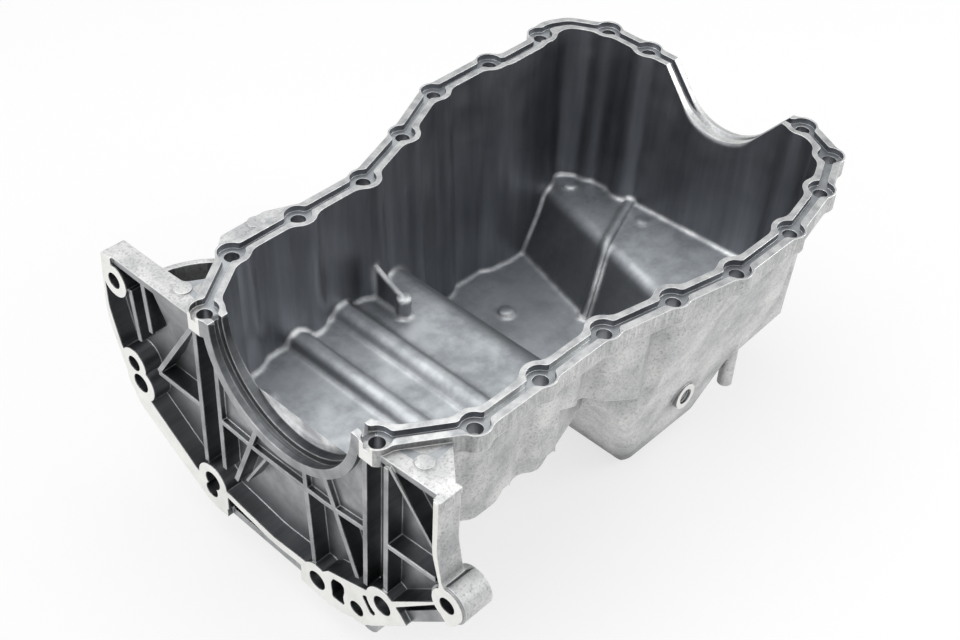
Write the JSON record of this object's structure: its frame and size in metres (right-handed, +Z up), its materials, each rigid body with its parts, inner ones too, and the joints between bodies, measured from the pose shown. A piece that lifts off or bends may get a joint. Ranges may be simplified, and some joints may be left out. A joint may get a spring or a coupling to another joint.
{
  "type": "engine oil pan",
  "caption": "Die-cast engine oil pan with a stepped sump, a grooved bolt rail, two crank seal saddles and a ribbed bell-housing flange.",
  "frame": {"origin": "where the crankshaft axis, in the plane of the sump joint face, meets the bell-housing joint face", "axes": "+X along the crankshaft towards the front of the engine, +Y across, +Z up, square to the sump joint face"},
  "size_m": [0.4043, 0.2891, 0.17],
  "materials": {
    "cast_aluminium": "as-cast with machined joint faces"
  },
  "bodies": {
    "root": {"pan_casting": "cast_aluminium"}
  },
  "joints": []
}
